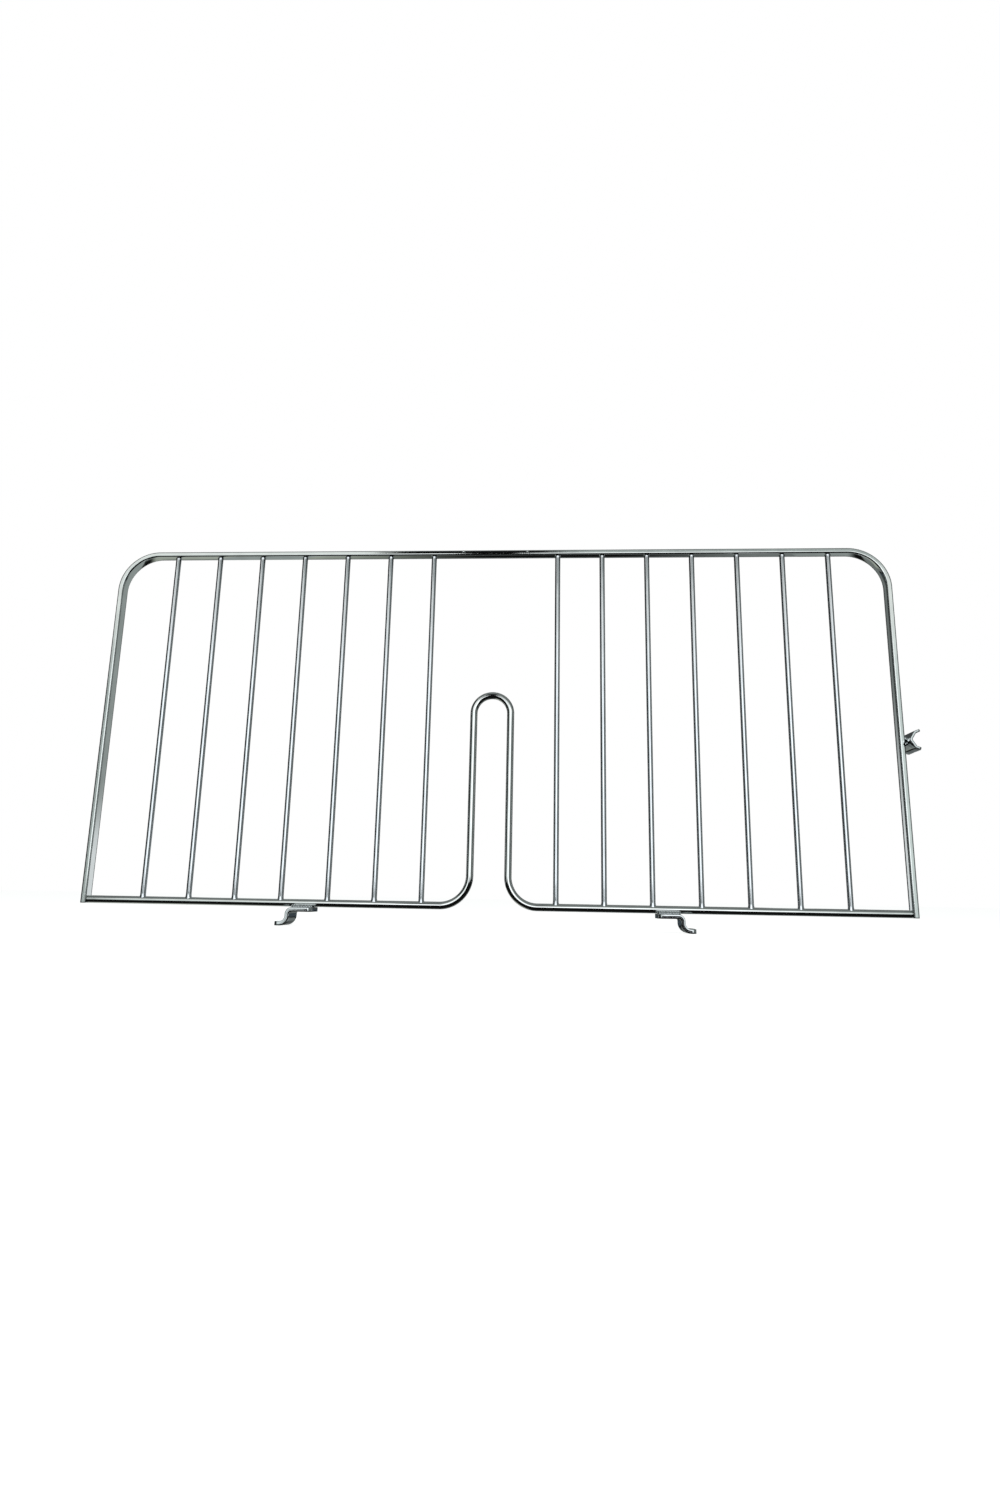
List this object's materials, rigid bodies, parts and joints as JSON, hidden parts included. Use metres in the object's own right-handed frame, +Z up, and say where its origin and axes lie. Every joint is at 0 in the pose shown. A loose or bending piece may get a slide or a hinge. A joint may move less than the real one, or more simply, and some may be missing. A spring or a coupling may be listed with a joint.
{
  "type": "wire shelf divider panel",
  "caption": "Chromed wire divider panel for a shop shelf: flat-bar hoop, upright wires, a slotted bottom rod, two hooks and a snap clip.",
  "frame": {"origin": "middle of the overall width and depth, at the underside of the two hooks", "axes": "+X along the panel towards the leg with the snap clip, +Y through the panel, +Z up towards the hoop's top bar"},
  "size_m": [0.6812, 0.026, 0.3218],
  "materials": {
    "flat_bar": "bright nickel-chrome plate on drawn flat steel bar, faint draw lines, edges eased",
    "rod": "bright nickel-chrome plate on drawn round rod",
    "wire": "bright nickel-chrome plate on drawn wire, slightly wavy reflections",
    "hook_strip": "chrome plate over bent strip, a little duller on the faces, scalloped weld beads under the rod",
    "clip_strip": "chrome plate over bent spring strip"
  },
  "bodies": {
    "root": {"hoop_frame": "flat_bar", "bottom_rod": "rod", "infill_wire_left_1": "wire", "infill_wire_left_2": "wire", "infill_wire_left_3": "wire", "infill_wire_left_4": "wire", "infill_wire_left_5": "wire", "infill_wire_left_6": "wire", "infill_wire_left_7": "wire", "infill_wire_right_1": "wire", "infill_wire_right_2": "wire", "infill_wire_right_3": "wire", "infill_wire_right_4": "wire", "infill_wire_right_5": "wire", "infill_wire_right_6": "wire", "infill_wire_right_7": "wire", "left_hook": "hook_strip", "right_hook": "hook_strip", "snap_clip": "clip_strip"}
  },
  "joints": []
}
